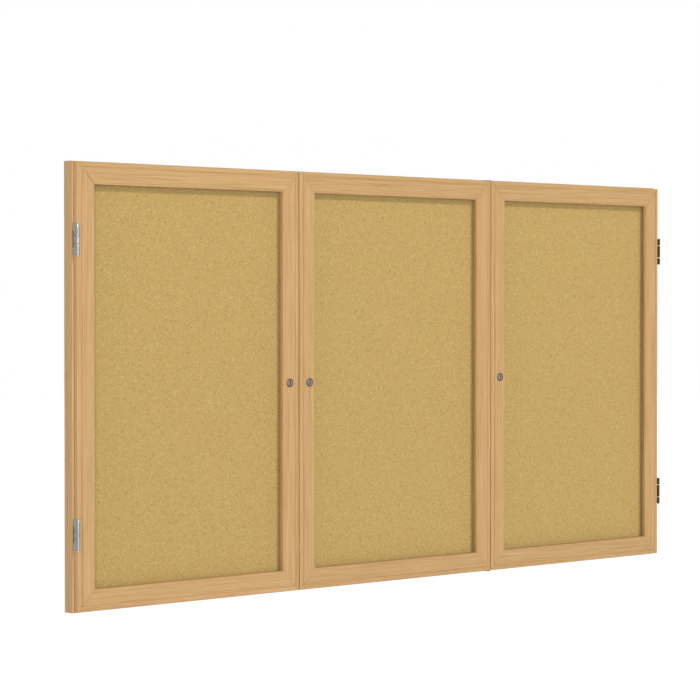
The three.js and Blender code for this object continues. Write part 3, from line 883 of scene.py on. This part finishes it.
def lock_plug(name, node, centre, locks):
    """Plug with a dished face, a keyway with round ends and a square tail for the cam."""
    low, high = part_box(node)
    radius = (high.x - low.x) / 2
    body_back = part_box(node.replace("plug", "body"))[1].y
    front = low.y
    # The dished face, from its middle to its rounded edge, and the side
    profile = [
        (0.0, front + 0.15 * MM),
        (radius * 0.75, front + 0.1 * MM),
        (radius - PLUG_ROUND, front),
        (radius, front + PLUG_ROUND),
        (radius, body_back),
        (0.0, body_back),
    ]
    material = shared("lock_plug", metal_finish, locks.plug, POLISHED)
    core = turned(name, profile, material, LOCK_SIDES)
    tail_low = (-TAIL_HALF, body_back - OVERLAP, -TAIL_HALF)
    tail = slab("tail", tail_low, (TAIL_HALF, high.y, TAIL_HALF), material)
    # The keyway's faces take the painted shade of shadowed_steel from the cutting tools
    dark = shadowed_steel()
    half = locks.keyway_width / 2
    eye_height = locks.keyway_height / 2 - locks.keyway_eye
    bottom = front + locks.keyway_depth
    ahead = front - OVERLAP
    slot = slab("slot", (-half, ahead, -eye_height), (half, bottom, eye_height), dark)
    eyes = []
    for sign in (-1, 1):
        shift = Matrix.Translation((0.0, 0.0, sign * eye_height))
        outline = [(0.0, ahead), (locks.keyway_eye, ahead), (locks.keyway_eye, bottom), (0.0, bottom)]
        eyes.append(turned("eye", outline, dark, SMALL_SIDES, spin=shift))
    plug = fitted(name, core, added=[tail], removed=[slot, *eyes])
    plug.location = (centre.x, 0.0, centre.z)
    smooth_sides(plug)
    return plug


class NOTICE_BOARD_OT_build_locks(Operator):
    """Cam locks: rim and barrel, plug with its keyway, cam, nut and cam screw"""

    bl_idname = "notice_board.build_locks"
    bl_label = "Build Locks"

    def execute(self, context):
        settings = context.scene.notice_board
        for door in DOORS:
            label = f"lock_{door}"
            body, plug, cam_screw = f"{label}_body", f"{label}_plug", f"{label}_cam_screw"
            low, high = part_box(body)
            centre = (low + high) / 2
            stand_for(lock_body(f"{label}_rim", body, centre, settings.locks), body)
            stand_for(lock_plug(f"{label}_keyed_plug", plug, centre, settings.locks), plug)
            dress(f"{label}_cam", hinge_steel(), settings.hinges.edge_radius)
            dress(f"{label}_nut", bright_steel(), settings.hinges.edge_radius)
            low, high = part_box(cam_screw)
            head = (high.x - low.x) / 2
            screw = screw_mesh(
                f"{label}_pan_screw", head, PAN_HEAD_RISE, PAN_SCREW_LENGTH, bright_steel()
            )
            seat = Matrix.Translation((centre.x, high.y - PAN_HEAD_RISE, centre.z))
            screw.matrix_world = seat @ Matrix.Rotation(math.pi, 4, "Z")
            stand_for(screw, cam_screw)
        return {"FINISHED"}


# Hinges, strikes and brackets


def knuckle(name, radius, low, high, material):
    """A closed knuckle about the Z axis with softened rims."""
    flat = radius - KNUCKLE_ROUND
    profile = [(0.0, -low), (flat, -low), (radius, -low - KNUCKLE_ROUND)]
    profile += [(radius, -high + KNUCKLE_ROUND), (flat, -high), (0.0, -high)]
    return turned(name, profile, material, HINGE_SIDES, spin=UPRIGHT)


def pin_bore(reach, hinges, material):
    """The tool that cuts the pin's bore, a little longer than the piece that it cuts."""
    radius = hinges.pin_radius + hinges.pin_gap
    low, high = -reach - OVERLAP, reach + OVERLAP
    profile = [(0.0, -low), (radius, -low), (radius, -high), (0.0, -high)]
    return turned("bore", profile, material, SMALL_SIDES, spin=UPRIGHT)


class HingeSizes:
    """Sizes of one hinge about its barrel, read from the frame."""

    def __init__(self, label, hinges):
        pin_low, pin_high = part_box(f"hinge_{label}_pin")
        case_low, case_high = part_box(f"hinge_{label}_case_leaf")
        door_low, door_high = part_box(f"hinge_{label}_door_leaf")
        self.axis = (pin_low + pin_high) / 2
        self.radius = (pin_high.x - pin_low.x) / 2
        self.half = (case_high.z - case_low.z) / 2
        self.middle = (door_high.z - door_low.z) / 2
        self.pin_half = (pin_high.z - pin_low.z) / 2
        self.foot_back = case_high.y - self.axis.y
        self.foot_reach = max(case_high.x - self.axis.x, self.axis.x - case_low.x)
        self.leaf_depth = door_high.y - self.axis.y
        self.right = label.startswith("right")
        flip = Matrix.Rotation(math.pi, 4, "Y") if self.right else Matrix.Identity(4)
        self.place = Matrix.Translation(self.axis) @ flip
        self.leaf = hinges.leaf


def hinge_case_leaf(name, size, hinges, material):
    """Two knuckles, the arms that pass the door, and the foot in the case's edge."""
    half = size.leaf / 2
    inner = size.middle + hinges.knuckle_gap
    parts = []
    for low, high in ((inner, size.half), (-size.half, -inner)):
        parts.append(knuckle("knuckle", size.radius, low, high, material))
        parts.append(slab("arm", (-half, 0.0, low), (half, size.foot_back, high), material))
    foot_low = (-half, size.foot_back - size.leaf, -size.half)
    foot = slab(name, foot_low, (size.foot_reach, size.foot_back, size.half), material)
    return fitted(name, foot, added=parts, removed=[pin_bore(size.half, hinges, material)])


def hinge_door_leaf(name, size, hinges, material):
    """The middle knuckle and the leaf on the door's side."""
    half = size.leaf / 2
    barrel = knuckle(name, size.radius, -size.middle, size.middle, material)
    plate_low = (-half, 0.0, -size.middle)
    plate = slab("plate", plate_low, (half, size.leaf_depth, size.middle), material)
    return fitted(name, barrel, added=[plate], removed=[pin_bore(size.middle, hinges, material)])


def hinge_pin(name, size, hinges, material):
    """A pin with a domed head at each end."""
    # The dome's outline, in shares of the barrel's radius and of the head's height
    dome = [(0.0, 0.0), (0.45, 0.06), (0.8, 0.3), (1.0, 0.75), (1.0, 1.0)]
    head = size.pin_half - size.half - PART_GAP
    top = [(size.radius * r, -size.pin_half + head * d) for r, d in dome]
    shaft = [(hinges.pin_radius, -size.pin_half + head), (hinges.pin_radius, size.pin_half - head)]
    bottom = [(size.radius * r, size.pin_half - head * d) for r, d in reversed(dome)]
    return turned(name, top + shaft + bottom, material, HINGE_SIDES, spin=UPRIGHT)


class NOTICE_BOARD_OT_build_hinges(Operator):
    """Butt hinges of the outer doors, with their pins and wood screws"""

    bl_idname = "notice_board.build_hinges"
    bl_label = "Build Hinges"

    def execute(self, context):
        hinges = context.scene.notice_board.hinges
        for label in HINGES:
            size = HingeSizes(label, hinges)
            # The right hinges take the darker steel, which paints the shade that they lie in
            material = dark_steel() if size.right else hinge_steel()
            made = {
                "case_leaf": hinge_case_leaf(f"hinge_{label}_fixed_leaf", size, hinges, material),
                "door_leaf": hinge_door_leaf(f"hinge_{label}_moving_leaf", size, hinges, material),
                "pin": hinge_pin(f"hinge_{label}_headed_pin", size, hinges, bright_steel()),
            }
            for part, piece in made.items():
                piece.matrix_world = size.place
                smooth_sides(piece)
                if part != "pin":
                    soften(piece, hinges.edge_radius)
                stand_for(piece, f"hinge_{label}_{part}")
            self.add_screws(label, size, hinges)
        return {"FINISHED"}

    def add_screws(self, label, size, hinges):
        """Two oval heads on the door's leaf, and three nearly flush ones on the case's foot."""
        head, shank = hinges.screw_head, hinges.screw_length
        half = size.leaf / 2
        inward = size.place.to_3x3() @ Vector((1.0, 0.0, 0.0))
        depth = (size.leaf_depth + size.radius + BARREL_CLEARANCE) / 2
        places = []
        for sign in (-1, 1):
            places.append(size.place @ Vector((-half, depth, sign * hinges.screw_spacing / 2)))
        body = BODY_OF[f"hinge_{label}_door_leaf"]
        drive_screws(f"hinge_{label}_door", body, places, inward, head, hinges.screw_rise, shank)

        front = size.foot_back - size.leaf
        across = (size.foot_reach + half) / 2
        places = []
        for share in CASE_SCREW_HEIGHTS:
            places.append(size.place @ Vector((across, front, share * size.half)))
        body = BODY_OF[f"hinge_{label}_case_leaf"]
        inward = (0.0, 1.0, 0.0)
        drive_screws(f"hinge_{label}_case", body, places, inward, head, FLUSH_HEAD_RISE, shank)


class NOTICE_BOARD_OT_fit_strikes(Operator):
    """Strike angles of the locks and pivot brackets of the middle door, with their screws"""

    bl_idname = "notice_board.fit_strikes"
    bl_label = "Fit Strikes and Brackets"

    def execute(self, context):
        hinges = context.scene.notice_board.hinges
        head = hinges.small_head
        for door in DOORS:
            node = f"strike_{door}"
            dress(node, hinge_steel(), hinges.edge_radius)
            low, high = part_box(node)
            lock_low, lock_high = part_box(f"lock_{door}_body")
            lock_at_left = (lock_low.x + lock_high.x) / 2 < low.x
            face = high.x - STRIKE_SHEET if lock_at_left else low.x + STRIKE_SHEET
            depth = (low.y + STRIKE_SHEET + high.y) / 2
            middle = (low.z + high.z) / 2
            reach = (high.z - low.z) / 2 - head - STRIKE_EDGE
            places = [Vector((face, depth, middle + sign * reach)) for sign in (-1, 1)]
            inward = (1.0, 0.0, 0.0) if lock_at_left else (-1.0, 0.0, 0.0)
            drive_screws(node, "case", places, inward, head, STRIKE_HEAD_RISE, STRIKE_SCREW_LENGTH)
        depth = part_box("case_top_rail")[0].y + BRACKET_FACE_LIFT
        inward = (0.0, 1.0, 0.0)
        for node, sign in (("pivot_top_bracket", 1), ("pivot_bottom_bracket", -1)):
            dress(node, hinge_steel(), hinges.edge_radius)
            low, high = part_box(node)
            outer = high.z if sign > 0 else low.z
            places = [Vector(((low.x + high.x) / 2, depth, outer - sign * BRACKET_SCREW_INSET))]
            drive_screws(node, "case", places, inward, head, FLUSH_HEAD_RISE, BRACKET_SCREW_LENGTH)
        return {"FINISHED"}


# Stage


def sun(name, travel, strength, spread):
    """A lamp as far off as the sun, whose light travels along a direction."""
    data = bpy.data.lights.new(name, "SUN")
    data.energy = strength
    data.angle = spread
    lamp = bpy.data.objects.new(name, data)
    lamp.rotation_mode = "QUATERNION"
    lamp.rotation_quaternion = Vector(travel).to_track_quat("-Z", "Y")
    bpy.context.scene.collection.objects.link(lamp)


def seen_directly(tree):
    """1 where a ray comes from the camera, a mirror-like surface or a clear one, and 0 elsewhere."""
    path = tree.nodes.new("ShaderNodeLightPath")
    total = path.outputs["Is Camera Ray"]
    for output in ("Is Glossy Ray", "Is Transmission Ray"):
        step = tree.nodes.new("ShaderNodeMath")
        step.operation = "MAXIMUM"
        tree.links.new(total, step.inputs[0])
        tree.links.new(path.outputs[output], step.inputs[1])
        total = step.outputs[0]
    return total


class NOTICE_BOARD_OT_set_stage(Operator):
    """Pale floor, white surroundings, soft studio light and the camera"""

    bl_idname = "notice_board.set_stage"
    bl_label = "Set Stage"

    def execute(self, context):
        stage = context.scene.notice_board.stage
        context.scene.view_settings.view_transform = "Standard"
        self.light_world(context, stage)
        height = stage.key_height
        sun("key_light", (0.0, math.cos(height), -math.sin(height)), stage.key_strength, stage.key_spread)
        turn = stage.fill_turn
        sun("fill_light", (math.sin(turn), math.cos(turn), 0.0), stage.fill_strength, stage.fill_spread)
        sun("side_light", SIDE_TRAVEL, stage.side_strength, stage.side_spread)
        sun("rear_light", REAR_TRAVEL, stage.rear_strength, stage.rear_spread)
        self.lay_floor(stage)
        self.set_camera(context, stage)
        return {"FINISHED"}

    def light_world(self, context, stage):
        """Soft light from all round, whose source looks white wherever it is seen."""
        world = bpy.data.worlds.new("studio")
        context.scene.world = world
        world.use_nodes = True
        tree = world.node_tree
        tree.nodes.clear()
        sky = tree.nodes.new("ShaderNodeBackground")
        sky.inputs["Strength"].default_value = stage.sky_strength
        white = tree.nodes.new("ShaderNodeBackground")
        either = tree.nodes.new("ShaderNodeMixShader")
        output = tree.nodes.new("ShaderNodeOutputWorld")
        for node in (sky, white):
            node.inputs["Color"].default_value = (1.0, 1.0, 1.0, 1.0)
        tree.links.new(seen_directly(tree), either.inputs[0])
        tree.links.new(sky.outputs[0], either.inputs[1])
        tree.links.new(white.outputs[0], either.inputs[2])
        tree.links.new(either.outputs[0], output.inputs["Surface"])

    def lay_floor(self, stage):
        """A pale floor that glows a little wherever it is seen."""
        half = stage.floor_size / 2
        top = cad_box[0].z - stage.floor_drop
        finish = Finish("pale_floor")
        paint = finish.noise(finish.place((3.0, 3.0, 3.0)), 3.0)
        greyer, paler = (0.88, 0.88, 0.88), (0.9, 0.9, 0.9)
        finish.colour(finish.mix(finish.spread(paint, "Fac", 0.3, 0.7), greyer, paler))
        finish.fix(roughness=0.9)
        finish.surface.inputs["Emission Color"].default_value = (1.0, 1.0, 1.0, 1.0)
        glow = finish.add("ShaderNodeMath", operation="MULTIPLY")
        glow.inputs[1].default_value = stage.floor_glow
        finish.tree.links.new(seen_directly(finish.tree), glow.inputs[0])
        finish.join(glow, "Value", finish.surface, "Emission Strength")
        bottom = top - FLOOR_THICKNESS
        floor = slab("floor", (-half, -half, bottom), (half, half, top), finish.material)

    def set_camera(self, context, stage):
        data = bpy.data.cameras.new("camera")
        data.sensor_width = SENSOR_WIDTH_MM
        data.lens = stage.camera_lens
        data.clip_end = VIEW_END
        camera = bpy.data.objects.new("camera", data)
        camera.location = (stage.camera_x, stage.camera_y, stage.camera_z)
        camera.rotation_euler = (math.pi / 2 - stage.camera_tilt, 0.0, -stage.camera_turn)
        context.scene.collection.objects.link(camera)
        context.scene.camera = camera


# Panel and registration


class NOTICE_BOARD_PT_panel(Panel):
    """Lists the steps that make the notice board"""

    bl_idname = "NOTICE_BOARD_PT_panel"
    bl_label = "Notice Board"
    bl_space_type = "VIEW_3D"
    bl_region_type = "UI"
    bl_category = "Notice Board"

    def draw(self, context):
        for step in STEPS:
            self.layout.operator(step.bl_idname)
        settings = context.scene.notice_board
        for part in settings.__annotations__:
            group = getattr(settings, part)
            box = self.layout.box()
            for name in group.__annotations__:
                box.prop(group, name)


STEPS = (
    NOTICE_BOARD_OT_set_stage,
    NOTICE_BOARD_OT_finish_case,
    NOTICE_BOARD_OT_finish_doors,
    NOTICE_BOARD_OT_finish_cork,
    NOTICE_BOARD_OT_finish_panes,
    NOTICE_BOARD_OT_build_locks,
    NOTICE_BOARD_OT_build_hinges,
    NOTICE_BOARD_OT_fit_strikes,
)
CLASSES = (
    NoticeBoardWood,
    NoticeBoardCork,
    NoticeBoardPane,
    NoticeBoardLocks,
    NoticeBoardHinges,
    NoticeBoardStage,
    NoticeBoardSettings,
    *STEPS,
    NOTICE_BOARD_PT_panel,
)


def register():
    """Adds the classes and the scene's settings."""
    for item in CLASSES:
        bpy.utils.register_class(item)
    bpy.types.Scene.notice_board = PointerProperty(type=NoticeBoardSettings)


def unregister():
    """Takes the settings and the classes away again."""
    del bpy.types.Scene.notice_board
    for item in reversed(CLASSES):
        bpy.utils.unregister_class(item)


def main():
    """Makes the notice board and its stage."""
    register()
    for step in STEPS:
        group, call = step.bl_idname.split(".")
        getattr(getattr(bpy.ops, group), call)()


if __name__ == "__main__":
    main()
